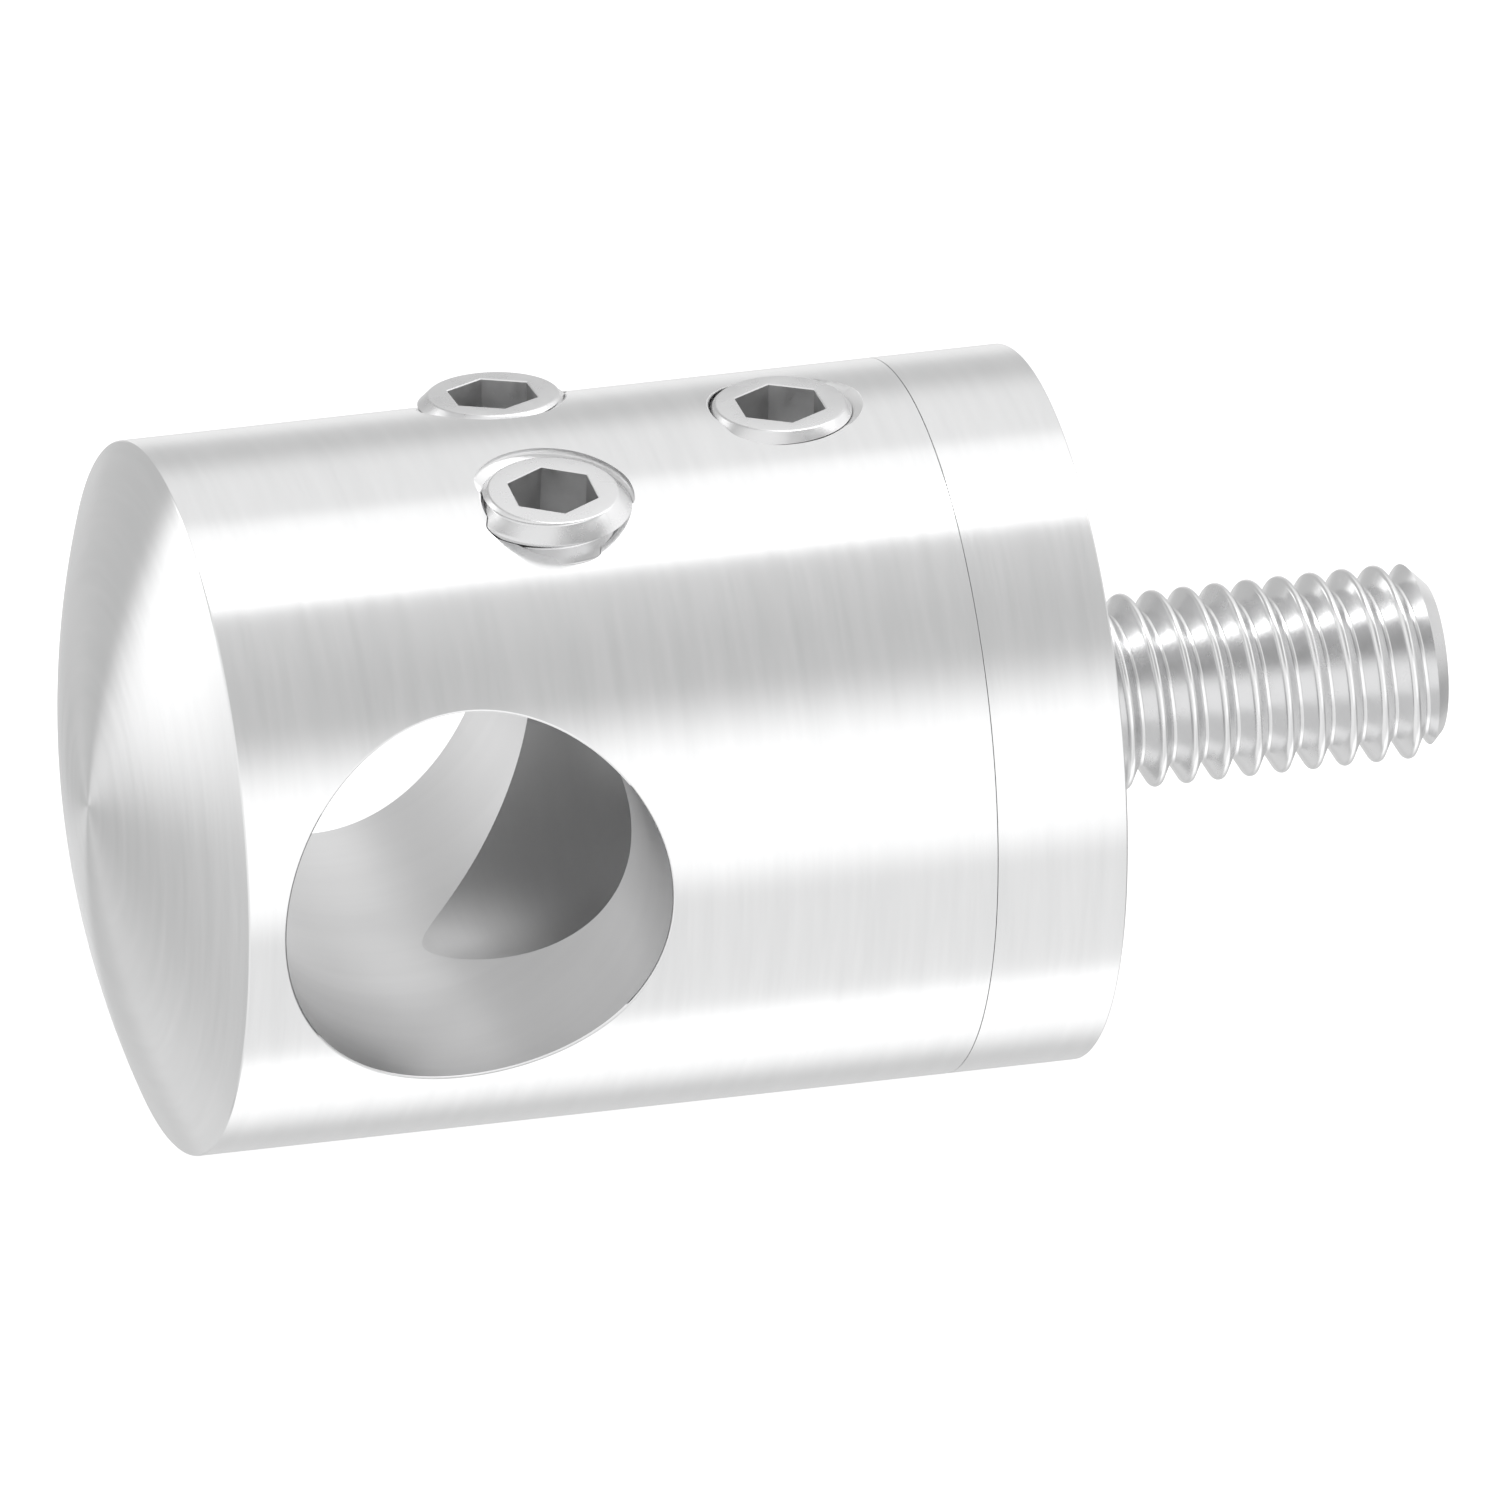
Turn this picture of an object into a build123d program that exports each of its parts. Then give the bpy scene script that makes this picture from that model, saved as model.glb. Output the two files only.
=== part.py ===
from build123d import *
from math import cos, radians, sin, sqrt, tan
import os

# Railing bar holder in stainless steel. A turned head carries one round infill bar across a
# stair or balcony railing. The head turns on the spigot of a base, and a stud fixes the base
# to the railing post. Two grub screws grip the bar and a third locks the head on the spigot.
#
# All sizes are millimetres. The origin is the centre of the base's mounting face. +X runs
# along the stud into the post, the head lies towards -X, the bar runs along Y, and the grub
# screws stand towards +Z.

# Outside of base and head, which are turned flush
body_diameter = 22.0
base_thickness = 4.1        # flange, from the post to the seam
dome_height = 2.2           # rise of the head's crowned end
edge_break = 0.12           # chamfer on the outer edges

# Spigot of the base, in the head's axial bore
spigot_diameter = 11.94
spigot_overrun = 1.0        # spigot past the locking screw's hole
spigot_chamfer = 0.6
turning_play = 0.03         # radial, between spigot and bore
seam_play = 0.02            # axial, between flange and head
bore_lead_in = 0.3          # chamfer at the mouth of the head's bore

# Bore for a 12 mm bar
bar_bore_diameter = 12.2
bar_to_spigot = 2.75        # hollow between the bar bore and the spigot's end
bar_wall = 1.2              # steel between the bar bore and the crowned end

# Stud, M6 x 20 with a hexagon socket in its inner end. The thread on its free end stands as
# rings, one pitch apart.
stud_diameter = 6.0
stud_pitch = 1.0
stud_length = 20.0
stud_projection = 12.4      # free length past the mounting face
stud_hexagon = 3.0          # across flats
stud_socket_depth = 3.0
stud_end_chamfer = 0.3      # inner end
stud_play = 0.02            # radial, in the base's thread
countersink_play = 0.3      # radial, round the stud at the mounting face
stud_hole_chamfer = 0.4     # inner mouth of the stud's hole

# Grub screws, M5 x 5 with a hexagon socket and a cup point
screw_diameter = 5.0
screw_length = 5.0
screw_hexagon = 2.5         # across flats
screw_rim_chamfer = 0.35
screw_web = 1.0             # steel between socket and cup
cup_diameter = 2.5
screw_play = 0.03           # radial, in the head's threads
locking_setback = 4.0       # from the seam to the locking screw's axis
locking_play = 0.02         # between the cup's rim and the spigot
clamp_offset = 4.25         # from the bar's axis towards the base
clamp_spacing = 5.2         # between the two clamp screws' axes at the bar's height
clamp_splay = 5.5           # degrees that each clamp screw leans outwards
clamp_backoff = 0.36        # height of the cup's rim above the bar bore before clamping

# Thread and drill forms
pitch_line_share = 0.64952  # loss of diameter at the pitch line, in pitches, of a metric thread
thread_angle = 60.0         # degrees
drill_point = 120.0         # degrees
quarter = 90.0              # degrees

# Radii
body_radius = body_diameter / 2
spigot_radius = spigot_diameter / 2
axial_bore_radius = spigot_radius + turning_play
bar_bore_radius = bar_bore_diameter / 2
stud_radius = stud_diameter / 2
stud_pitch_radius = stud_radius - pitch_line_share * stud_pitch / 2
stud_hole_radius = stud_pitch_radius + stud_play
screw_radius = screw_diameter / 2
screw_hole_radius = screw_radius + screw_play
cup_radius = cup_diameter / 2

# Places along the axis, from the mounting face towards the head
seam_x = -base_thickness
head_face_x = seam_x - seam_play
locking_x = seam_x - locking_setback
spigot_end_x = locking_x - screw_hole_radius - spigot_overrun
bar_x = spigot_end_x - bar_to_spigot - bar_bore_radius
head_rim_x = bar_x - bar_bore_radius - bar_wall
apex_x = head_rim_x - dome_height
clamp_x = bar_x + clamp_offset
stud_inner_x = stud_projection - stud_length

# Heights of the screws' tips at rest
locking_tip_z = spigot_radius + locking_play
clamp_tip_z = sqrt(bar_bore_radius**2 - (clamp_offset - cup_radius) ** 2) + clamp_backoff


def turned(points):
    """Solid of revolution about X from the corners (x, radius) of its half section."""
    section = make_face(Polyline(*points, close=True))
    return revolve(section, axis=Axis.X)


def hexagon_socket(across_flats, depth):
    """Tool for a hexagon socket with a drilled bottom. It is cut downwards from Z = 0."""
    flat_radius = across_flats / 2
    drill_depth = flat_radius / tan(radians(drill_point / 2))
    walls = extrude(RegularPolygon(flat_radius, 6, major_radius=False), -depth)
    bottom = Pos(0, 0, -depth - drill_depth / 2) * Cone(0, flat_radius, drill_depth)
    return walls + bottom


def base():
    """Flange against the post, with the spigot that the head turns on."""
    mouth_radius = stud_radius + countersink_play
    return turned([
        (0, mouth_radius),
        (0, body_radius - edge_break),
        (-edge_break, body_radius),
        (seam_x + edge_break, body_radius),
        (seam_x, body_radius - edge_break),
        (seam_x, spigot_radius),
        (spigot_end_x + spigot_chamfer, spigot_radius),
        (spigot_end_x, spigot_radius - spigot_chamfer),
        (spigot_end_x, stud_hole_radius + stud_hole_chamfer),
        (spigot_end_x + stud_hole_chamfer, stud_hole_radius),
        (stud_hole_radius - mouth_radius, stud_hole_radius),
    ])


def stud():
    """Threaded stud. Its free end has grooves down to the thread's root, and the length that is
    screwed into the base has the pitch diameter, on which the two threads bear."""
    root_radius = 2 * stud_pitch_radius - stud_radius
    thread_depth = stud_radius - root_radius
    flank = thread_depth * tan(radians(thread_angle / 2))
    blank = turned([
        (stud_inner_x, 0),
        (stud_inner_x, stud_pitch_radius - stud_end_chamfer),
        (stud_inner_x + stud_end_chamfer, stud_pitch_radius),
        (stud_pitch_radius - stud_radius, stud_pitch_radius),
        (0, stud_radius),
        (stud_projection - thread_depth, stud_radius),
        (stud_projection, root_radius),
        (stud_projection, 0),
    ])
    first_root = stud_pitch - flank
    above = stud_radius + thread_depth
    for turn in range(1 + int((stud_projection - first_root) / stud_pitch)):
        root_x = first_root + turn * stud_pitch
        blank -= turned([
            (root_x, root_radius),
            (root_x + flank, stud_radius),
            (root_x + flank, above),
            (root_x - flank, above),
            (root_x - flank, stud_radius),
        ])
    inner_end = Plane(origin=(stud_inner_x, 0, 0), x_dir=(0, 1, 0), z_dir=(-1, 0, 0))
    return blank - inner_end * hexagon_socket(stud_hexagon, stud_socket_depth)


def grub_screw():
    """Screw on the Z axis with the rim of its cup at Z = 0 and its face upwards."""
    cup_depth = cup_radius
    socket_cone = screw_hexagon / 2 / tan(radians(drill_point / 2))
    socket_depth = screw_length - cup_depth - screw_web - socket_cone
    half_section = Plane.XZ * make_face(Polyline(
        (0, cup_depth),
        (cup_radius, 0),
        (screw_radius, screw_radius - cup_radius),
        (screw_radius, screw_length - screw_rim_chamfer),
        (screw_radius - screw_rim_chamfer, screw_length),
        (0, screw_length),
        close=True,
    ))
    blank = revolve(half_section, axis=Axis.Z)
    socket = Rot(0, 0, quarter) * hexagon_socket(screw_hexagon, socket_depth)
    return blank - Pos(0, 0, screw_length) * socket


def clamp_plane(side):
    """Place of a clamp screw's tip, with Z along the screw. Side -1 is front and 1 is rear."""
    lean = radians(side * clamp_splay)
    tip_y = side * clamp_spacing / 2 + clamp_tip_z * tan(lean)
    axis = (0, sin(lean), cos(lean))
    return Plane(origin=(clamp_x, tip_y, clamp_tip_z), x_dir=(1, 0, 0), z_dir=axis)


def locking_plane():
    """Place of the locking screw's tip on the spigot."""
    return Plane(origin=(locking_x, 0, locking_tip_z))


def screw_hole(depth):
    """Tool for a threaded hole, on the screw's plane. It runs from above the body to this depth
    below the screw's tip, where the bores leave it open all round."""
    above = body_diameter
    return Pos(0, 0, (above - depth) / 2) * Cylinder(screw_hole_radius, above + depth)


def head():
    """Crowned head with the bar bore across it, the bore for the spigot and three screw holes."""
    rim_radius = body_radius - edge_break
    # The edge break runs on to a point, and the crown takes off all but the break itself
    blank = turned([
        (head_rim_x - rim_radius, 0),
        (head_rim_x + edge_break, body_radius),
        (head_face_x - edge_break, body_radius),
        (head_face_x, rim_radius),
        (head_face_x, 0),
    ])
    crown_radius = (rim_radius**2 + dome_height**2) / (2 * dome_height)
    crowned = blank & Pos(apex_x + crown_radius, 0, 0) * Sphere(crown_radius)

    across = Pos(bar_x, 0, 0) * Rot(quarter, 0, 0)
    bar_bore = across * Cylinder(bar_bore_radius, 2 * body_diameter)
    axial_bore = turned([
        (bar_x, 0),
        (bar_x, axial_bore_radius),
        (head_face_x - bore_lead_in, axial_bore_radius),
        (head_face_x, axial_bore_radius + bore_lead_in),
        (head_face_x, 0),
    ])
    clamp_hole = screw_hole(clamp_tip_z)
    locking_hole = screw_hole(locking_tip_z)
    return (
        crowned
        - bar_bore
        - axial_bore
        - clamp_plane(-1) * clamp_hole
        - clamp_plane(1) * clamp_hole
        - locking_plane() * locking_hole
    )


def main():
    screw = grub_screw()
    nodes = {
        "base": base(),
        "head": head(),
        "stud": stud(),
        "clamp_screw_front": clamp_plane(-1) * screw,
        "clamp_screw_rear": clamp_plane(1) * screw,
        "locking_screw": locking_plane() * screw,
    }
    os.makedirs("parts", exist_ok=True)
    for name, shape in nodes.items():
        export_step(shape, f"parts/{name}.step")


main()
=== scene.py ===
import bmesh
import bpy
from math import acos, cos, pi, radians, sin, sqrt, tan
from mathutils import Matrix, Vector


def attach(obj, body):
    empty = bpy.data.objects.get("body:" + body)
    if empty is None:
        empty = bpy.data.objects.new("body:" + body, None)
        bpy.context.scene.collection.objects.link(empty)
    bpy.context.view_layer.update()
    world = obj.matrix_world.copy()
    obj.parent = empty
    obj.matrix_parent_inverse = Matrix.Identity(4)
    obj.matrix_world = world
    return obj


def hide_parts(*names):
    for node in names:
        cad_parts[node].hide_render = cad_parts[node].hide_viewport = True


# Stainless steel holder for a round railing bar. The pieces are modelled in millimetres, along
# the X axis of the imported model, and each is brought to metres when it is finished.

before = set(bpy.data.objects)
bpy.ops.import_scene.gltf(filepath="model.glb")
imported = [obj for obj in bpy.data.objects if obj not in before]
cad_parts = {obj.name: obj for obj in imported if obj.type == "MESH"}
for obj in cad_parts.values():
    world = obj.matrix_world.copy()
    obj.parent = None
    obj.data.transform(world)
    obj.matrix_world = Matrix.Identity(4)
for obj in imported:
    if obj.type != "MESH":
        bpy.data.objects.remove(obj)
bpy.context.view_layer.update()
scene = bpy.context.scene
scene.view_settings.view_transform = "Standard"
print("frame loaded")

metre = 0.001                 # one millimetre in metres
weld = 0.0004                 # points nearer than this are one, in millimetres
fullTurn = 2 * pi
flankAngle = radians(30)      # of a metric thread's flanks
crestClearance = 0.02         # between a thread's crests and the tool that shapes its ends
standOnZ = Matrix.Rotation(radians(-90), 4, "Y")     # turns X up to Z, and Z to -X

body = {
    "radius": 11.0,
    "segments": 256,
    "seamX": -4.108,
    "headFaceX": -4.112,
    "headRimX": -27.78,
    "domeHeight": 2.2,
    "domeSteps": 26,
    "edgeBreak": 0.05,
    "edgeRound": 0.015,
    "seamBreak": 0.022,
    "seamRound": 0.004,
}

barBore = {"x": -20.48, "radius": 6.1, "segments": 224, "mouth": 0.075}

axialBore = {"radius": 6.0, "segments": 192, "leadIn": 0.3}

lockingHole = {"x": -8.1, "tipY": 0.0, "tipZ": 5.99, "lean": 0.0}
clampHole = {"x": -16.23, "tipY": 3.146, "tipZ": 5.671, "lean": 5.5}

# "radius" is the tapping drill's, and what lies within "outermost" and above "lowest" is shaded
# as tapped
screwHole = {"radius": 2.10, "segments": 128, "mouth": 0.17, "outermost": 2.56, "lowest": -3.0}

# "side" is -1 in front of the body's axis, 1 behind it and 0 over it, and "turnedBy" is the turn
# of the screw's thread in degrees
screws = [
    {"name": "grubScrewFront", "node": "clamp_screw_front", "hole": clampHole, "side": -1,
     "turnedBy": 29.0},
    {"name": "grubScrewRear", "node": "clamp_screw_rear", "hole": clampHole, "side": 1,
     "turnedBy": 140.0},
    {"name": "grubScrewLocking", "node": "locking_screw", "hole": lockingHole, "side": 0,
     "turnedBy": 231.0},
]

# Camera, as the photograph was taken
camera = {
    "azimuth": -14.742,
    "elevation": 24.838,
    "width": 45.825,
    "centreRight": -8.761,
    "centreUp": -1.493,
    "distance": 300.0,
}


def placeCamera(name):
    azimuth, elevation = radians(camera["azimuth"]), radians(camera["elevation"])
    back = Vector((sin(azimuth) * cos(elevation), -cos(azimuth) * cos(elevation), sin(elevation)))
    right = Vector((cos(azimuth), sin(azimuth), 0))
    up = back.cross(right)
    lens = bpy.data.cameras.new(name)
    lens.type = "ORTHO"
    lens.ortho_scale = camera["width"] * metre
    lens.clip_start, lens.clip_end = 0.01, 2.0
    eye = bpy.data.objects.new(name, lens)
    centre = right * camera["centreRight"] + up * camera["centreUp"] + back * camera["distance"]
    eye.location = centre * metre
    eye.rotation_euler = (-back).to_track_quat("-Z", "Y").to_euler()
    scene.collection.objects.link(eye)
    scene.camera = eye


placeCamera("photoCamera")
print("camera placed")


# Turning, boring and threading

def objectFrom(bm, name):
    mesh = bpy.data.meshes.new(name)
    bm.to_mesh(mesh)
    bm.free()
    piece = bpy.data.objects.new(name, mesh)
    scene.collection.objects.link(piece)
    return piece


def pointsOf(geometry):
    return [part for part in geometry if isinstance(part, bmesh.types.BMVert)]


def faceOutwards(bm):
    bmesh.ops.recalc_face_normals(bm, faces=bm.faces[:])
    if bm.calc_volume(signed=True) < 0:
        bmesh.ops.reverse_faces(bm, faces=bm.faces[:])


def wire(bm, corners, closed=False):     # corners are (x, radius) of a half section
    points = [bm.verts.new((x, 0, radius)) for x, radius in corners]
    ends = points[1:] + points[:1] if closed else points[1:]
    for start, end in zip(points, ends):
        bm.edges.new((start, end))
    return points


def roundCorners(bm, points, offset, segments=3):
    bmesh.ops.bevel(bm, geom=points, offset=offset, offset_type="OFFSET", affect="VERTICES",
                    segments=segments, profile=0.5, material=-1)


def spinRound(bm, segments):     # a full turn about the X axis
    bmesh.ops.spin(bm, geom=bm.verts[:] + bm.edges[:], cent=(0, 0, 0), axis=(1, 0, 0),
                   angle=fullTurn, steps=segments, use_merge=True)
    bmesh.ops.remove_doubles(bm, verts=bm.verts[:], dist=weld)
    faceOutwards(bm)


def carve(piece, tool, operation="DIFFERENCE"):
    cut = piece.modifiers.new("cut", "BOOLEAN")
    cut.operation, cut.solver, cut.object = operation, "EXACT", tool
    graph = bpy.context.evaluated_depsgraph_get()
    carved = bpy.data.meshes.new_from_object(piece.evaluated_get(graph))
    plain, toolMesh = piece.data, tool.data
    piece.modifiers.clear()
    piece.data = carved
    bpy.data.objects.remove(tool)
    bpy.data.meshes.remove(plain)
    bpy.data.meshes.remove(toolMesh)
    carved.name = piece.name


def ringAlong(bm, ring, move):     # extrudes a ring of points and moves each copy with move(point)
    members = set(ring)
    edges = [edge for edge in bm.edges if edge.verts[0] in members and edge.verts[1] in members]
    fresh = pointsOf(bmesh.ops.extrude_edge_only(bm, edges=edges)["geom"])
    for point in fresh:
        point.co = move(point.co)
    return fresh


def capRing(bm, ring):
    members = set(ring)
    edges = [edge for edge in bm.edges if edge.verts[0] in members and edge.verts[1] in members]
    bmesh.ops.contextual_create(bm, geom=edges)


def reach(point, axis):     # how far the round outside of the body is from a point, along an axis
    across = Vector((0, axis.y, axis.z))
    arm = Vector((0, point.y, point.z))
    a, b, c = across.dot(across), across.dot(arm), arm.dot(arm) - body["radius"] ** 2
    return (sqrt(b * b - a * c) - b) / a


def drill(name, place, hole, bothWays=False):
    # A cutter that widens where it leaves the round body, so the hole's edge comes out broken
    axis = place.col[2].xyz
    start = place.translation
    mouth, flare = hole["mouth"], 0.3
    widening = (hole["radius"] + mouth + flare) / hole["radius"]
    clear = body["radius"] + 3

    def toMouth(co):
        return co + axis * (reach(co, axis) - mouth)

    def pastSurface(co):
        level = (co - start).dot(axis)
        centre = start + axis * level
        wide = centre + (co - centre) * widening
        return wide + axis * (reach(wide, axis) + flare)

    def toTop(co):
        return co + axis * (clear - (co - start).dot(axis))

    bm = bmesh.new()
    bottom = bmesh.ops.create_circle(bm, segments=hole["segments"], radius=hole["radius"],
                                     matrix=place)["verts"]
    edge = ringAlong(bm, bottom, toMouth)
    flared = ringAlong(bm, edge, pastSurface)
    top = ringAlong(bm, flared, toTop)
    capRing(bm, top)
    if bothWays:
        bmesh.ops.mirror(bm, geom=bm.verts[:] + bm.edges[:] + bm.faces[:], axis="Y",
                         merge_dist=weld)
    else:
        capRing(bm, bottom)
    bmesh.ops.remove_doubles(bm, verts=bm.verts[:], dist=weld)
    faceOutwards(bm)
    return objectFrom(bm, name)


def screwPlace(screw):     # where a screw's tip rests, with Z along the screw
    hole, side = screw["hole"], screw["side"]
    lean = radians(side * hole["lean"])
    turn = Matrix.Rotation(-lean, 4, "X")
    return Matrix.Translation((hole["x"], side * hole["tipY"], hole["tipZ"])) @ turn


def threadAlongX(name, thread, start, stop):
    # Sweeps one pitch of the thread's profile up a helix and closes its ends with points
    pitch, crest, root = thread["pitch"], thread["crestRadius"], thread["rootRadius"]
    crestWidth, segments = thread["crestWidth"], thread["segments"]
    flank = (crest - root) * tan(flankAngle)
    rootHalf = (pitch - crestWidth - 2 * flank) / 2
    turns = round((stop - start) / pitch) + 2
    begin = start - pitch

    bm = bmesh.new()
    points = wire(bm, [
        (begin, root),
        (begin + rootHalf, root),
        (begin + rootHalf + flank, crest),
        (begin + rootHalf + flank + crestWidth, crest),
        (begin + pitch - rootHalf, root),
        (begin + pitch, root),
    ])
    roundCorners(bm, points[2:4], thread["crestRound"])
    roundCorners(bm, [points[1], points[4]], thread["rootRound"], segments=2)
    bmesh.ops.rotate(bm, verts=bm.verts[:], cent=(0, 0, 0),
                     matrix=Matrix.Rotation(radians(thread["phase"]), 3, "X"))
    bmesh.ops.spin(bm, geom=bm.verts[:] + bm.edges[:], cent=(0, 0, 0), axis=(1, 0, 0),
                   dvec=(pitch / segments, 0, 0), angle=fullTurn, steps=segments)
    oneTurn = bm.verts[:] + bm.edges[:] + bm.faces[:]
    for turn in range(1, turns):
        copied = bmesh.ops.duplicate(bm, geom=oneTurn)["geom"]
        bmesh.ops.translate(bm, verts=pointsOf(copied), vec=(turn * pitch, 0, 0))
    bmesh.ops.remove_doubles(bm, verts=bm.verts[:], dist=weld)
    middle = (start + stop) / 2
    far = (stop - start) / 2 + 4 * pitch     # past both ends of the sweep
    rims = [edge for edge in bm.edges if edge.is_boundary]
    for point in pointsOf(bmesh.ops.extrude_edge_only(bm, edges=rims)["geom"]):
        point.co = (middle + (far if point.co.x > middle else -far), 0, 0)
    bmesh.ops.remove_doubles(bm, verts=bm.verts[:], dist=weld)
    faceOutwards(bm)
    return objectFrom(bm, name)


def hexagonTool(name, socket, place):
    # Hexagon with a broken upper edge, cut downwards from the place's origin
    flats, depth, edge = socket["acrossFlats"] / 2, socket["depth"], socket["edge"]
    corner = flats / cos(pi / 6)
    bm = bmesh.new()
    bottom = bmesh.ops.create_circle(bm, segments=6, radius=corner,
                                     matrix=Matrix.Translation((0, 0, -depth)))["verts"]
    wider = (corner + 2 * edge) / corner
    mouth = ringAlong(bm, bottom, lambda co: Vector((co.x, co.y, -edge)))
    top = ringAlong(bm, mouth, lambda co: Vector((co.x * wider, co.y * wider, edge)))
    capRing(bm, bottom)
    capRing(bm, top)
    faceOutwards(bm)
    bmesh.ops.transform(bm, verts=bm.verts[:], matrix=place)
    return objectFrom(bm, name)


drillPoint = {"halfAngle": 60.0, "segments": 48, "insideFlats": 0.004, "shank": 0.4}


def drillPointTool(name, socket, place):
    # Cone that the drill left at the bottom of a socket
    flats, depth = socket["acrossFlats"] / 2, socket["depth"]
    point = flats / tan(radians(drillPoint["halfAngle"]))
    bm = bmesh.new()
    rim = bmesh.ops.create_circle(bm, segments=drillPoint["segments"],
                                  radius=flats - drillPoint["insideFlats"],
                                  matrix=Matrix.Translation((0, 0, -depth)))["verts"]
    ringAlong(bm, rim, lambda co: Vector((0, 0, -depth - point)))
    top = ringAlong(bm, rim, lambda co: Vector((co.x, co.y, drillPoint["shank"] - depth)))
    capRing(bm, top)
    bmesh.ops.remove_doubles(bm, verts=bm.verts[:], dist=weld)
    faceOutwards(bm)
    bmesh.ops.transform(bm, verts=bm.verts[:], matrix=place)
    return objectFrom(bm, name)


# Base: flange against the post, and the spigot that the head turns on
base = {
    "spigotRadius": 5.97,
    "spigotEndX": -11.63,
    "spigotChamfer": 0.6,
    "holeRadius": 2.695,
    "holeChamfer": 0.4,
    "mouthRadius": 3.3,
    "edgeRound": 0.06,
}


def makeBase(name):
    radius = body["radius"]
    bm = bmesh.new()
    points = wire(bm, [
        (0, base["mouthRadius"]),
        (0, radius - body["edgeBreak"]),
        (-body["edgeBreak"], radius),
        (body["seamX"] + body["seamBreak"], radius),
        (body["seamX"], radius - body["seamBreak"]),
        (body["seamX"], base["spigotRadius"]),
        (base["spigotEndX"] + base["spigotChamfer"], base["spigotRadius"]),
        (base["spigotEndX"], base["spigotRadius"] - base["spigotChamfer"]),
        (base["spigotEndX"], base["holeRadius"] + base["holeChamfer"]),
        (base["spigotEndX"] + base["holeChamfer"], base["holeRadius"]),
        (base["holeRadius"] - base["mouthRadius"], base["holeRadius"]),
    ], closed=True)
    roundCorners(bm, [points[0]] + points[6:8], base["edgeRound"])
    roundCorners(bm, points[1:3], body["edgeRound"])
    roundCorners(bm, points[3:5], body["seamRound"])
    spinRound(bm, body["segments"])
    return objectFrom(bm, name)


# Head: crowned cylinder with the bar's bore, the spigot's bore and three tapped holes

# The tap's thread is the grub screws' own with a little play. It starts a whole number of turns
# below their tips, so that the two threads mesh, and stops above their faces.
tap = {
    "pitch": 0.8,
    "crestRadius": 2.53,
    "rootRadius": 2.04,
    "crestWidth": 0.185,
    "crestRound": 0.06,
    "rootRound": 0.01,
    "segments": 112,
    "start": -2.4,
    "stop": 8.0,
}


def domeRadius():
    rim, rise = body["radius"] - body["edgeBreak"], body["domeHeight"]
    return (rim * rim + rise * rise) / (2 * rise)


def makeHead(name):
    radius = body["radius"]
    apexX = body["headRimX"] - body["domeHeight"]
    crown = domeRadius()
    opening = acos((crown - body["domeHeight"]) / crown)
    bm = bmesh.new()
    apex = bm.verts.new((apexX, 0, 0))
    arc = bmesh.ops.spin(bm, geom=[apex], cent=(apexX + crown, 0, 0), axis=(0, 1, 0),
                         angle=opening, steps=body["domeSteps"])["geom_last"]
    arcEnd = pointsOf(arc)[0]
    points = wire(bm, [
        (body["headRimX"] + body["edgeBreak"], radius),
        (body["headFaceX"] - body["seamBreak"], radius),
        (body["headFaceX"], radius - body["seamBreak"]),
        (body["headFaceX"], 0),
    ])
    bm.edges.new((arcEnd, points[0]))
    roundCorners(bm, [arcEnd, points[0]], body["edgeRound"])
    roundCorners(bm, points[1:3], body["seamRound"])
    spinRound(bm, body["segments"])
    head = objectFrom(bm, name)

    across = Matrix.Translation((barBore["x"], 0, 0)) @ Matrix.Rotation(radians(90), 4, "X")
    carve(head, drill("barDrill", across, barBore, bothWays=True))

    bore, leadIn = axialBore["radius"], axialBore["leadIn"]
    bm = bmesh.new()
    wire(bm, [
        (barBore["x"], 0),
        (barBore["x"], bore),
        (body["headFaceX"] - leadIn, bore),
        (body["headFaceX"] + leadIn, bore + 2 * leadIn),
        (body["headFaceX"] + leadIn, 0),
    ])
    spinRound(bm, axialBore["segments"])
    carve(head, objectFrom(bm, "spigotDrill"))

    for screw in screws:
        screwName, tip = screw["name"], screwPlace(screw)
        bottom = tip @ Matrix.Translation((0, 0, -screw["hole"]["tipZ"]))
        carve(head, drill(f"{screwName}Drill", bottom, screwHole))
        threads = threadAlongX(f"{screwName}Tap", dict(tap, phase=screw["turnedBy"]),
                               tap["start"], tap["stop"])
        threads.data.transform(tip @ standOnZ)
        carve(head, threads)
    return head


# Stud: M6 thread, screwed into the base up to its pitch line
stud = {
    "pitch": 1.0,
    "crestRadius": 3.0,
    "rootRadius": 2.387,
    "crestWidth": 0.18,
    "crestRound": 0.08,
    "rootRound": 0.02,
    "segments": 128,
    "phase": -32.0,
    "innerX": -7.6,
    "outerX": 12.4,
    "seatedRadius": 2.675,
    "endChamfer": 0.3,
    "tipRadius": 2.35,
}
studSocket = {"acrossFlats": 3.0, "depth": 3.0, "edge": 0.05}


def studInnerEnd():     # place of the stud's inner end, with Z outwards from it
    return Matrix.Translation((stud["innerX"], 0, 0)) @ standOnZ


def makeStud(name):
    inner, outer, seated = stud["innerX"], stud["outerX"], stud["seatedRadius"]
    clear = stud["crestRadius"] + crestClearance
    rod = threadAlongX(name, stud, inner, outer)
    bm = bmesh.new()
    wire(bm, [
        (inner, 0),
        (inner, seated - stud["endChamfer"]),
        (inner + stud["endChamfer"], seated),
        (seated - stud["crestRadius"], seated),
        (clear - stud["crestRadius"], clear),
        (outer - clear + stud["tipRadius"], clear),
        (outer, stud["tipRadius"]),
        (outer, 0),
    ])
    spinRound(bm, stud["segments"])
    carve(rod, objectFrom(bm, "studEnvelope"), "INTERSECT")
    innerEnd = studInnerEnd()
    carve(rod, hexagonTool("studHexagon", studSocket, innerEnd))
    carve(rod, drillPointTool("studDrillPoint", studSocket, innerEnd))
    return rod


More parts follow.
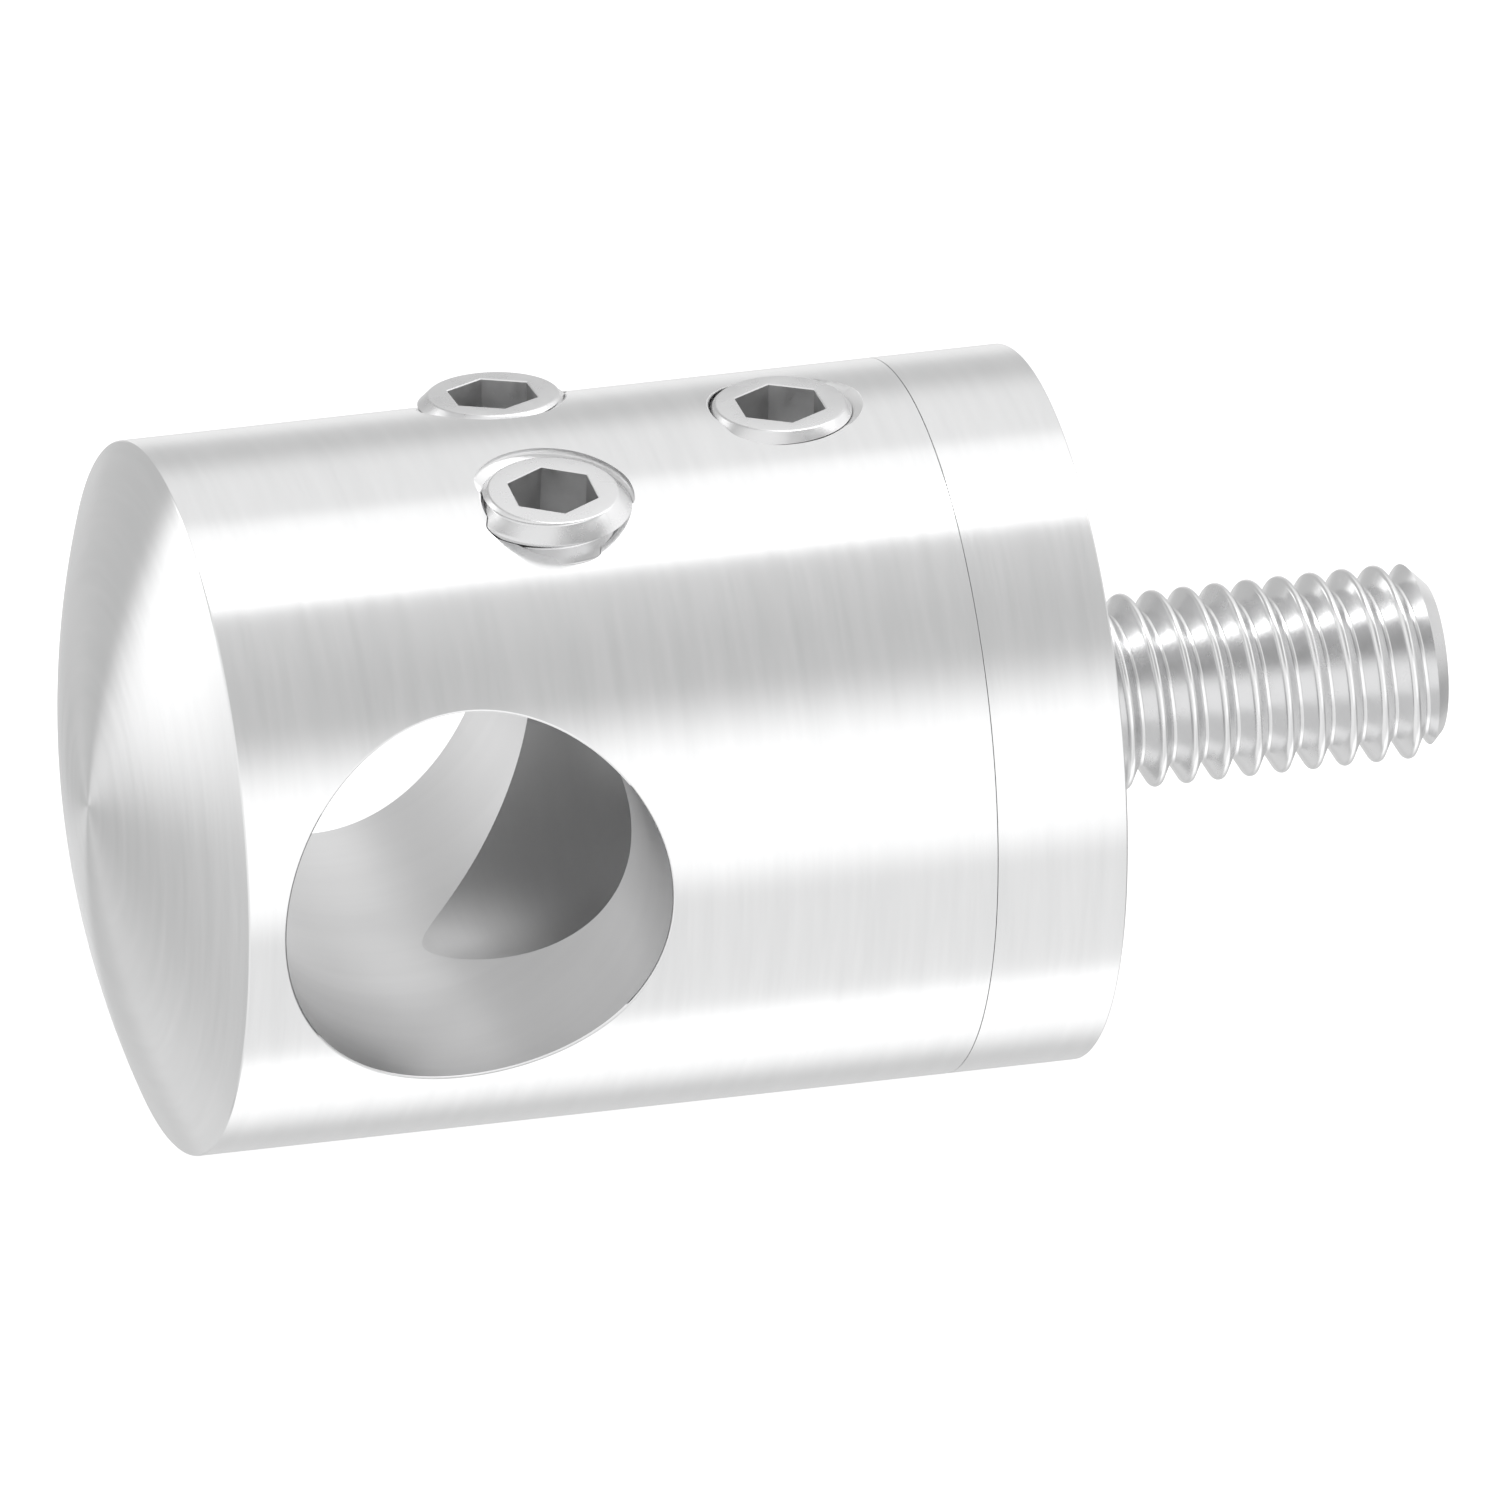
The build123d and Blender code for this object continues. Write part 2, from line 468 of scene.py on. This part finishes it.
# Grub screws: M5 x 5 with a cup point, made along X from the cup's rim and then stood on Z
grubScrew = {
    "pitch": 0.8,
    "crestRadius": 2.5,
    "rootRadius": 2.009,
    "crestWidth": 0.15,
    "crestRound": 0.065,
    "rootRound": 0.035,
    "segments": 112,
    "length": 5.0,
    "rimChamfer": 0.5,
    "cupRadius": 1.25,
    "edgeRound": 0.05,
}
screwSocket = {"acrossFlats": 2.5, "depth": 2.028, "edge": 0.035}


def screwTop(screw):     # place of a grub screw's face, with Z outwards from it
    return screwPlace(screw) @ Matrix.Translation((0, 0, grubScrew["length"]))


def makeGrubScrew(screw):
    length, cup = grubScrew["length"], grubScrew["cupRadius"]
    clear = grubScrew["crestRadius"] + crestClearance
    face = grubScrew["crestRadius"] - grubScrew["rimChamfer"]
    piece = threadAlongX(screw["name"], dict(grubScrew, phase=screw["turnedBy"]), 0, length)
    bm = bmesh.new()
    points = wire(bm, [
        (cup, 0),
        (0, cup),
        (clear - cup, clear),
        (length - clear + face, clear),
        (length, face),
        (length, 0),
    ])
    roundCorners(bm, [points[1], points[4]], grubScrew["edgeRound"])
    spinRound(bm, grubScrew["segments"])
    carve(piece, objectFrom(bm, "screwEnvelope"), "INTERSECT")
    piece.data.transform(screwPlace(screw) @ standOnZ)
    top = screwTop(screw)
    carve(piece, hexagonTool("screwHexagon", screwSocket, top))
    carve(piece, drillPointTool("screwDrillPoint", screwSocket, top))
    return piece


# Shader groups

def newGroup(name, inputs, outputs):
    group = bpy.data.node_groups.new(name, "ShaderNodeTree")
    for label, kind, value in inputs:
        socket = group.interface.new_socket(label, in_out="INPUT", socket_type=kind)
        if value is not None:
            socket.default_value = value
    for label, kind in outputs:
        group.interface.new_socket(label, in_out="OUTPUT", socket_type=kind)
    return group, group.nodes.new("NodeGroupInput"), group.nodes.new("NodeGroupOutput")


def feed(tree, socket, value):     # with another node's output or a plain value
    if isinstance(value, bpy.types.NodeSocket):
        tree.links.new(value, socket)
    elif value is not None:
        socket.default_value = value


def compute(tree, operation, first, second=None):
    node = tree.nodes.new("ShaderNodeMath")
    node.operation = operation
    feed(tree, node.inputs[0], first)
    feed(tree, node.inputs[1], second)
    return node.outputs[0]


def mapTo(tree, value, low, high, newLow, newHigh, smooth=False):
    node = tree.nodes.new("ShaderNodeMapRange")
    node.interpolation_type = "SMOOTHSTEP" if smooth else "LINEAR"
    node.clamp = True
    tree.links.new(value, node.inputs["Value"])
    for label, number in (("From Min", low), ("From Max", high), ("To Min", newLow),
                          ("To Max", newHigh)):
        feed(tree, node.inputs[label], number)
    return node.outputs["Result"]


def noise(tree, vector, scale, detail=2.0, roughness=0.5):
    node = tree.nodes.new("ShaderNodeTexNoise")
    node.inputs["Detail"].default_value = detail
    node.inputs["Roughness"].default_value = roughness
    tree.links.new(vector, node.inputs["Vector"])
    feed(tree, node.inputs["Scale"], scale)
    return node.outputs["Fac"]


turning = {"rings": 0.73, "streaks": 0.22, "detail": 3.0, "roughness": 0.6, "clouds": 160.0}


def makeTurningLines():
    # Fine lines that run round the X axis, and fade in and out on their way round. Faces across
    # the axis have them as rings.
    group, given, result = newGroup("turningLines", [
        ("Coordinates", "NodeSocketVector", None),
        ("Lines per Metre", "NodeSocketFloat", 9000.0),
        ("Fade Scale", "NodeSocketFloat", 120.0),
    ], [("Fine", "NodeSocketFloat"), ("Streaks", "NodeSocketFloat"), ("Clouds", "NodeSocketFloat")])
    split = group.nodes.new("ShaderNodeSeparateXYZ")
    group.links.new(given.outputs["Coordinates"], split.inputs[0])
    x, y, z = split.outputs
    squares = compute(group, "ADD", compute(group, "MULTIPLY", y, y),
                      compute(group, "MULTIPLY", z, z))
    rings = compute(group, "MULTIPLY", compute(group, "SQRT", squares), turning["rings"])
    across = compute(group, "ADD", x, rings)
    around = given.outputs["Fade Scale"]
    for label, share in (("Fine", 1.0), ("Streaks", turning["streaks"])):
        spread = compute(group, "MULTIPLY", given.outputs["Lines per Metre"], share)
        joined = group.nodes.new("ShaderNodeCombineXYZ")
        group.links.new(compute(group, "MULTIPLY", across, spread), joined.inputs[0])
        group.links.new(compute(group, "MULTIPLY", y, around), joined.inputs[1])
        group.links.new(compute(group, "MULTIPLY", z, around), joined.inputs[2])
        wavy = noise(group, joined.outputs[0], 1.0, turning["detail"], turning["roughness"])
        group.links.new(wavy, result.inputs[label])
    clouds = noise(group, given.outputs["Coordinates"], turning["clouds"])
    group.links.new(clouds, result.inputs["Clouds"])
    return group


def makeSpeckle():
    # Tiny dents and dull spots from tumbling and handling
    group, given, result = newGroup("speckle", [
        ("Coordinates", "NodeSocketVector", None),
        ("Scale", "NodeSocketFloat", 3000.0),
    ], [("Dents", "NodeSocketFloat"), ("Dullness", "NodeSocketFloat")])
    coordinates = given.outputs["Coordinates"]
    cells = group.nodes.new("ShaderNodeTexVoronoi")
    group.links.new(coordinates, cells.inputs["Vector"])
    group.links.new(given.outputs["Scale"], cells.inputs["Scale"])
    dents = mapTo(group, cells.outputs["Distance"], 0.05, 0.35, 0.0, 1.0, smooth=True)
    group.links.new(dents, result.inputs["Dents"])
    coarser = compute(group, "MULTIPLY", given.outputs["Scale"], 0.3)
    dull = noise(group, coordinates, coarser, 4.0, 0.65)
    group.links.new(dull, result.inputs["Dullness"])
    return group


turningLines = makeTurningLines()
speckle = makeSpeckle()
lineHeight = 0.00002     # of the lines' and the dents' bump, in metres
dentHeight = 0.00001


def steel(name):
    material = bpy.data.materials.new(name)
    material.use_nodes = True
    tree = material.node_tree
    shader = tree.nodes["Principled BSDF"]
    shader.inputs["Metallic"].default_value = 1.0
    coordinates = tree.nodes.new("ShaderNodeTexCoord").outputs["Object"]
    return material, tree, shader, coordinates


def tint(tree, shader, value, darker, lighter):
    mix = tree.nodes.new("ShaderNodeMix")
    mix.data_type = "RGBA"
    tree.links.new(value, mix.inputs["Factor"])
    mix.inputs["A"].default_value = (*darker, 1)
    mix.inputs["B"].default_value = (*lighter, 1)
    tree.links.new(mix.outputs["Result"], shader.inputs["Base Color"])


def emboss(tree, shader, height, strength, distance):
    bump = tree.nodes.new("ShaderNodeBump")
    bump.inputs["Strength"].default_value = strength
    bump.inputs["Distance"].default_value = distance
    tree.links.new(height, bump.inputs["Height"])
    tree.links.new(bump.outputs["Normal"], shader.inputs["Normal"])


def placeGroup(tree, group, coordinates, **values):
    node = tree.nodes.new("ShaderNodeGroup")
    node.node_tree = group
    tree.links.new(coordinates, node.inputs["Coordinates"])
    for label, value in values.items():
        node.inputs[label.replace("_", " ")].default_value = value
    return node


def radialTangent(tree, shader, amount):
    tangent = tree.nodes.new("ShaderNodeTangent")
    tangent.direction_type = "RADIAL"
    tangent.axis = "X"
    shader.inputs["Anisotropic"].default_value = amount
    shader.inputs["Anisotropic Rotation"].default_value = 0.25
    tree.links.new(tangent.outputs["Tangent"], shader.inputs["Tangent"])


# Each steel's tones and roughness from streak to streak or spot to spot, its lines or dents, and
# how deep they look
steels = {
    "turnedSteelOutside": {
        "darker": (0.722, 0.724, 0.727), "lighter": (0.833, 0.834, 0.836),
        "smoothest": 0.23, "roughest": 0.25, "linesPerMetre": 9000.0, "fadeScale": 150.0,
        "depth": 0.10, "along": 1.0,
    },
    "reamedSteel": {
        "darker": (0.74, 0.74, 0.742), "lighter": (0.79, 0.79, 0.792),
        "smoothest": 0.30, "roughest": 0.42, "linesPerMetre": 7000.0, "fadeScale": 90.0,
        "depth": 0.12,
    },
    "boredSteel": {
        "darker": (0.74, 0.74, 0.742), "lighter": (0.80, 0.80, 0.802),
        "smoothest": 0.40, "roughest": 0.55, "linesPerMetre": 7000.0, "fadeScale": 90.0,
        "depth": 0.12,
    },
    "tappedSteel": {
        "darker": (0.74, 0.74, 0.742), "lighter": (0.82, 0.82, 0.821),
        "smoothest": 0.40, "roughest": 0.55, "dentScale": 2600.0, "depth": 0.12,
    },
    "rolledThreadSteel": {
        "darker": (0.70, 0.70, 0.705), "lighter": (0.79, 0.79, 0.792),
        "smoothest": 0.16, "roughest": 0.30, "dentScale": 2600.0, "depth": 0.12,
    },
    "grubScrewSteel": {
        "darker": (0.66, 0.66, 0.665), "lighter": (0.76, 0.76, 0.762),
        "smoothest": 0.20, "roughest": 0.36, "dentScale": 2600.0, "depth": 0.12,
    },
    # The socket steel is darker than the screws' own: partly the oxide in the hexagon, partly
    # painted shade of the deep hollow
    "oxideAndPaintedShadeSocketSteel": {
        "darker": (0.52, 0.52, 0.522), "lighter": (0.70, 0.70, 0.702),
        "smoothest": 0.34, "roughest": 0.52, "dentScale": 5200.0, "depth": 0.3,
    },
}


def placeLines(tree, coordinates, look):
    return placeGroup(tree, turningLines, coordinates, Lines_per_Metre=look["linesPerMetre"],
                      Fade_Scale=look["fadeScale"])


def roughen(tree, shader, value, look):
    rough = mapTo(tree, value, 0.3, 0.7, look["smoothest"], look["roughest"])
    tree.links.new(rough, shader.inputs["Roughness"])


def turnedSteel(name):
    look = steels[name]
    material, tree, shader, coordinates = steel(name)
    lines = placeLines(tree, coordinates, look)
    tint(tree, shader, lines.outputs["Streaks"], look["darker"], look["lighter"])
    mixed = compute(tree, "ADD", compute(tree, "MULTIPLY", lines.outputs["Streaks"], 0.6),
                    compute(tree, "MULTIPLY", lines.outputs["Clouds"], 0.4))
    roughen(tree, shader, mixed, look)
    radialTangent(tree, shader, look["along"])
    emboss(tree, shader, lines.outputs["Fine"], look["depth"], lineHeight)
    return material


def boredSteel(name, place=None):
    look = steels[name]
    material, tree, shader, coordinates = steel(name)
    if place:
        mapping = tree.nodes.new("ShaderNodeMapping")
        mapping.inputs["Location"].default_value = place["location"]
        mapping.inputs["Rotation"].default_value = place["rotation"]
        tree.links.new(coordinates, mapping.inputs["Vector"])
        coordinates = mapping.outputs["Vector"]
    lines = placeLines(tree, coordinates, look)
    tint(tree, shader, lines.outputs["Streaks"], look["darker"], look["lighter"])
    roughen(tree, shader, lines.outputs["Clouds"], look)
    emboss(tree, shader, lines.outputs["Fine"], look["depth"], lineHeight)
    return material


def screwSteel(name):
    look = steels[name]
    material, tree, shader, coordinates = steel(name)
    marks = placeGroup(tree, speckle, coordinates, Scale=look["dentScale"])
    tint(tree, shader, marks.outputs["Dullness"], look["darker"], look["lighter"])
    roughen(tree, shader, marks.outputs["Dullness"], look)
    emboss(tree, shader, marks.outputs["Dents"], look["depth"], dentHeight)
    return material


# The bar bore's lines run round the bar, so its coordinates are turned from Y to X
barBorePlace = {"location": (0, -barBore["x"] * metre, 0), "rotation": (0, 0, radians(90))}
outsideSteel = turnedSteel("turnedSteelOutside")
barBoreSteel = boredSteel("reamedSteel", barBorePlace)
spigotBoreSteel = boredSteel("boredSteel")
tappedSteel = screwSteel("tappedSteel")
rolledSteel = screwSteel("rolledThreadSteel")
grubSteel = screwSteel("grubScrewSteel")
socketOxideAndShadeSteel = screwSteel("oxideAndPaintedShadeSocketSteel")
print("materials mixed")


# Finishing: metres, materials by surface, and the true normals of bored and turned walls

def wall(point, axis, radius, side):     # side 1 faces away from the axis and -1 towards it
    def at(co):
        arm = co - point
        arm -= axis * arm.dot(axis)
        return abs(arm.length - radius), arm.normalized() * side
    return at


def flatAcrossX(x, side):
    def at(co):
        return abs(co.x - x), Vector((side, 0, 0))
    return at


def crownSurface():
    crown = domeRadius()
    centre = Vector((body["headRimX"] - body["domeHeight"] + crown, 0, 0))

    def at(co):
        return abs((co - centre).length - crown), (co - centre).normalized()
    return at


# A face or point lies on a surface when it is this near in millimetres, and when its normal
# agrees with the surface's to this cosine
shading = {"near": 0.005, "faceAgrees": 0.98, "pointAgrees": 0.6, "sharpAngle": 28.0}


def shadeBySurface(mesh, surfaces, regions):
    # Each face takes the normals and the material's number of the surface that it lies on. The
    # narrow faces between two surfaces turn from the one's normal to the other's, and those
    # inside a region take its material.
    near = shading["near"]
    normals = [Vector((0, 0, 1))] * len(mesh.loops)
    narrow, shared = [], {}
    for face in mesh.polygons:
        found = None
        for slotNumber, at in surfaces:
            gap, normal = at(face.center)
            if gap < near and normal.dot(face.normal) > shading["faceAgrees"]:
                found = (slotNumber, at)
                break
        if found:
            face.material_index = found[0]
            for loop in face.loop_indices:
                normals[loop] = found[1](mesh.vertices[mesh.loops[loop].vertex_index].co)[1]
        else:
            narrow.append(face)
            for slotNumber, inside in regions:
                if inside(face.center):
                    face.material_index = slotNumber
            for index in face.vertices:
                shared[index] = shared.get(index, Vector()) + face.normal * face.area
    for face in narrow:
        for loop in face.loop_indices:
            index = mesh.loops[loop].vertex_index
            co = mesh.vertices[index].co
            best, closest = shared[index].normalized(), shading["pointAgrees"]
            for slotNumber, at in surfaces:
                gap, normal = at(co)
                if gap < near and normal.dot(face.normal) > closest:
                    best, closest = normal, normal.dot(face.normal)
            normals[loop] = best
    return normals


def finish(piece, materials, node, bodyName, surfaces=None, regions=(),
           socketTest=None):
    mesh = piece.data
    mesh.materials.clear()
    for material in materials:
        mesh.materials.append(material)
    for face in mesh.polygons:
        face.use_smooth = True
        face.material_index = 0
    if socketTest:
        for face in mesh.polygons:
            if socketTest(face):
                face.material_index = 1
    normals = shadeBySurface(mesh, surfaces, regions) if surfaces else None
    mesh.transform(Matrix.Scale(metre, 4))
    if normals:
        mesh.normals_split_custom_set(normals)
    else:
        mesh.set_sharp_from_angle(angle=radians(shading["sharpAngle"]))
    mesh.update()
    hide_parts(node)
    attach(piece, bodyName)
    print(piece.name, len(mesh.polygons), "faces")


def insideSocket(place, socket):     # true for faces below a screw's face and within its hexagon
    back = place.inverted()
    margin, pointRoom = 0.01, 1.2
    corner = socket["acrossFlats"] / 2 / cos(pi / 6) + margin
    highest, lowest = -socket["edge"] - margin, -socket["depth"] - pointRoom

    def test(face):
        centre = back @ face.center
        return lowest < centre.z < highest and centre.xy.length < corner
    return test


def insideHole(place, hole):     # true within the width of a tapped hole and its broken edge
    point, axis = place.translation, place.col[2].xyz

    def test(co):
        arm = co - point
        along = arm.dot(axis)
        return along > hole["lowest"] and (arm - axis * along).length < hole["outermost"]
    return test


axisX, axisY = Vector((1, 0, 0)), Vector((0, 1, 0))
origin = Vector((0, 0, 0))

# Each surface has the number of its material
baseSurfaces = [
    (0, wall(origin, axisX, body["radius"], 1)),
    (0, flatAcrossX(0, 1)),
    (0, flatAcrossX(body["seamX"], -1)),
    (0, wall(origin, axisX, base["spigotRadius"], 1)),
    (0, flatAcrossX(base["spigotEndX"], -1)),
    (1, wall(origin, axisX, base["holeRadius"], -1)),
]
finish(makeBase("turnedBase"), [outsideSteel, tappedSteel], "base", "base",
       baseSurfaces)

headSurfaces = [
    (0, wall(origin, axisX, body["radius"], 1)),
    (0, crownSurface()),
    (0, flatAcrossX(body["headFaceX"], 1)),
    (1, wall(Vector((barBore["x"], 0, 0)), axisY, barBore["radius"], -1)),
    (2, wall(origin, axisX, axialBore["radius"], -1)),
]
tappedRegions = []
for screw in screws:
    place = screwPlace(screw)
    headSurfaces.append((3, wall(place.translation, place.col[2].xyz, screwHole["radius"], -1)))
    tappedRegions.append((3, insideHole(place, screwHole)))
finish(makeHead("crownedHead"), [outsideSteel, barBoreSteel, spigotBoreSteel, tappedSteel],
       "head", "head", headSurfaces, tappedRegions)

# Faces inside the hexagon sockets take the darker socket steel, which holds oxide tone and painted
# shade
finish(makeStud("threadedStud"), [rolledSteel, socketOxideAndShadeSteel], "stud", "base",
       socketTest=insideSocket(studInnerEnd(), studSocket))

for screw in screws:
    finish(makeGrubScrew(screw), [grubSteel, socketOxideAndShadeSteel], screw["node"], screw["node"],
           socketTest=insideSocket(screwTop(screw), screwSocket))
print("pieces finished")


# Table, with its half width and its top in millimetres, and light

table = {"half": 600.0, "top": -11.03, "glow": 0.78, "tone": 0.4}


def makeTable(name):
    bm = bmesh.new()
    bmesh.ops.create_grid(bm, x_segments=1, y_segments=1, size=table["half"] * metre,
                          matrix=Matrix.Translation((0, 0, table["top"] * metre)))
    piece = objectFrom(bm, name)
    material = bpy.data.materials.new("whiteTable")
    material.use_nodes = True
    tree = material.node_tree
    shader = tree.nodes["Principled BSDF"]
    shader.inputs["Base Color"].default_value = (table["tone"],) * 3 + (1,)
    shader.inputs["Roughness"].default_value = 1.0
    shader.inputs["Specular IOR Level"].default_value = 0.0
    shader.inputs["Emission Color"].default_value = (1, 1, 1, 1)
    shader.inputs["Emission Strength"].default_value = table["glow"]
    # The table is clear from below, so that it doesn't hide the underside
    clear = tree.nodes.new("ShaderNodeBsdfTransparent")
    either = tree.nodes.new("ShaderNodeMixShader")
    tree.links.new(tree.nodes.new("ShaderNodeNewGeometry").outputs["Backfacing"],
                   either.inputs["Fac"])
    tree.links.new(shader.outputs["BSDF"], either.inputs[1])
    tree.links.new(clear.outputs["BSDF"], either.inputs[2])
    tree.links.new(either.outputs["Shader"], tree.nodes["Material Output"].inputs["Surface"])
    piece.data.materials.append(material)
    piece.visible_glossy = False


# Light that reaches the steel from all round. "round" goes once round the X axis, from straight
# down at -90 by way of the front at 0, overhead at 90 and behind at 180. Each step there is the
# angle and half width in degrees of a change to a new level.
studio = {
    "backdrop": 1.0,
    "underneath": 1.5,
    "round": [
        ("floorInFront", -73, 6, 1.0),
        ("frontBox", -21, 8, 1.5),
        ("darkCard", 31, 15, 0.52),
        ("wallInFront", 66, 14, 0.68),
        ("overheadBox", 85, 3.5, 1.5),
        ("overheadLamp", 93, 2, 5.0),
        ("overheadEdge", 104, 2, 1.5),
        ("ceiling", 120, 3.5, 1.08),
        ("wallBehind", 153, 10, 0.70),
        ("horizonBehind", 178, 9, 0.99),
        ("floorBehind", 216, 8, 0.74),
        ("floorBelow", 250, 14, 1.5),
    ],
    # off the crowned end, by the angle round Z from -X at 0 to behind at 90
    "endInFront": 1.1,
    "end": [("endWall", 15, 10, 0.62)],
    "endFrom": 0.10,
    "endTo": -0.12,
    # off the stud's end, by the height in degrees
    "postBelow": 0.5,
    "post": [("postWall", -12, 10, 0.85), ("postBox", 14, 6, 1.3), ("postCeiling", 38, 6, 0.65)],
    "postFrom": 0.62,
    "postTo": 0.82,
    # by the same angle and the height: from, to, softness, bottom, top, softness, strength
    "boxes": [
        ("endBox", 30, 52, 5, -16, 40, 4, 1.35),
        ("floorGlow", 40, 80, 8, -80, -29, 5, 0.22),
        ("edgeCard", 94, 125, 4, -36, -18, 4, -0.2),
    ],
}


def steps(tree, angle, first, changes):
    light, level = first, first
    for _, at, soft, newLevel in changes:
        change = mapTo(tree, angle, at - soft, at + soft, 0, newLevel - level, smooth=True)
        light, level = compute(tree, "ADD", change, light), newLevel
    return light


def between(tree, angle, start, stop, soft):
    rise = mapTo(tree, angle, start - soft, start + soft, 0, 1, smooth=True)
    fall = mapTo(tree, angle, stop - soft, stop + soft, 0, 1, smooth=True)
    return compute(tree, "SUBTRACT", rise, fall)


def makeStudio(name):
    world = bpy.data.worlds.new(name)
    world.use_nodes = True
    scene.world = world
    tree = world.node_tree
    tree.nodes.clear()
    direction = tree.nodes.new("ShaderNodeTexCoord").outputs["Generated"]
    split = tree.nodes.new("ShaderNodeSeparateXYZ")
    tree.links.new(direction, split.inputs[0])
    x, y, z = split.outputs
    toDegrees = 180 / pi
    fromFront = compute(tree, "ARCTAN2", z, compute(tree, "MULTIPLY", y, -1.0))
    fromBelow = compute(tree, "ADD", compute(tree, "MULTIPLY", fromFront, toDegrees), 90.0)
    around = compute(tree, "SUBTRACT", compute(tree, "FLOORED_MODULO", fromBelow, 360.0), 90.0)
    fromEnd = compute(tree, "ARCTAN2", y, compute(tree, "MULTIPLY", x, -1.0))
    sideways = compute(tree, "MULTIPLY", fromEnd, toDegrees)
    height = compute(tree, "MULTIPLY", compute(tree, "ARCSINE", z), toDegrees)

    lengthways = steps(tree, around, studio["underneath"], studio["round"])
    endwise = steps(tree, sideways, studio["endInFront"], studio["end"])
    postwards = steps(tree, height, studio["postBelow"], studio["post"])
    light = lengthways
    for other, start, full in ((endwise, studio["endFrom"], studio["endTo"]),
                               (postwards, studio["postFrom"], studio["postTo"])):
        low, high = min(start, full), max(start, full)
        share = mapTo(tree, x, low, high, start > full, start < full, smooth=True)
        kept = compute(tree, "MULTIPLY", light, compute(tree, "SUBTRACT", 1.0, share))
        light = compute(tree, "ADD", kept, compute(tree, "MULTIPLY", other, share))
    for _, start, stop, soft, bottom, top, softHeight, strength in studio["boxes"]:
        box = compute(tree, "MULTIPLY", between(tree, sideways, start, stop, soft),
                      between(tree, height, bottom, top, softHeight))
        light = compute(tree, "ADD", light, compute(tree, "MULTIPLY", box, strength))
    seen = tree.nodes.new("ShaderNodeLightPath").outputs["Is Camera Ray"]
    unseen = compute(tree, "SUBTRACT", 1.0, seen)
    total = compute(tree, "ADD", compute(tree, "MULTIPLY", light, unseen),
                    compute(tree, "MULTIPLY", seen, studio["backdrop"]))
    background = tree.nodes.new("ShaderNodeBackground")
    background.inputs["Color"].default_value = (1, 1, 1, 1)
    tree.links.new(total, background.inputs["Strength"])
    output = tree.nodes.new("ShaderNodeOutputWorld")
    tree.links.new(background.outputs[0], output.inputs["Surface"])


makeTable("whiteTable")
makeStudio("softStudio")
print("table and light set")
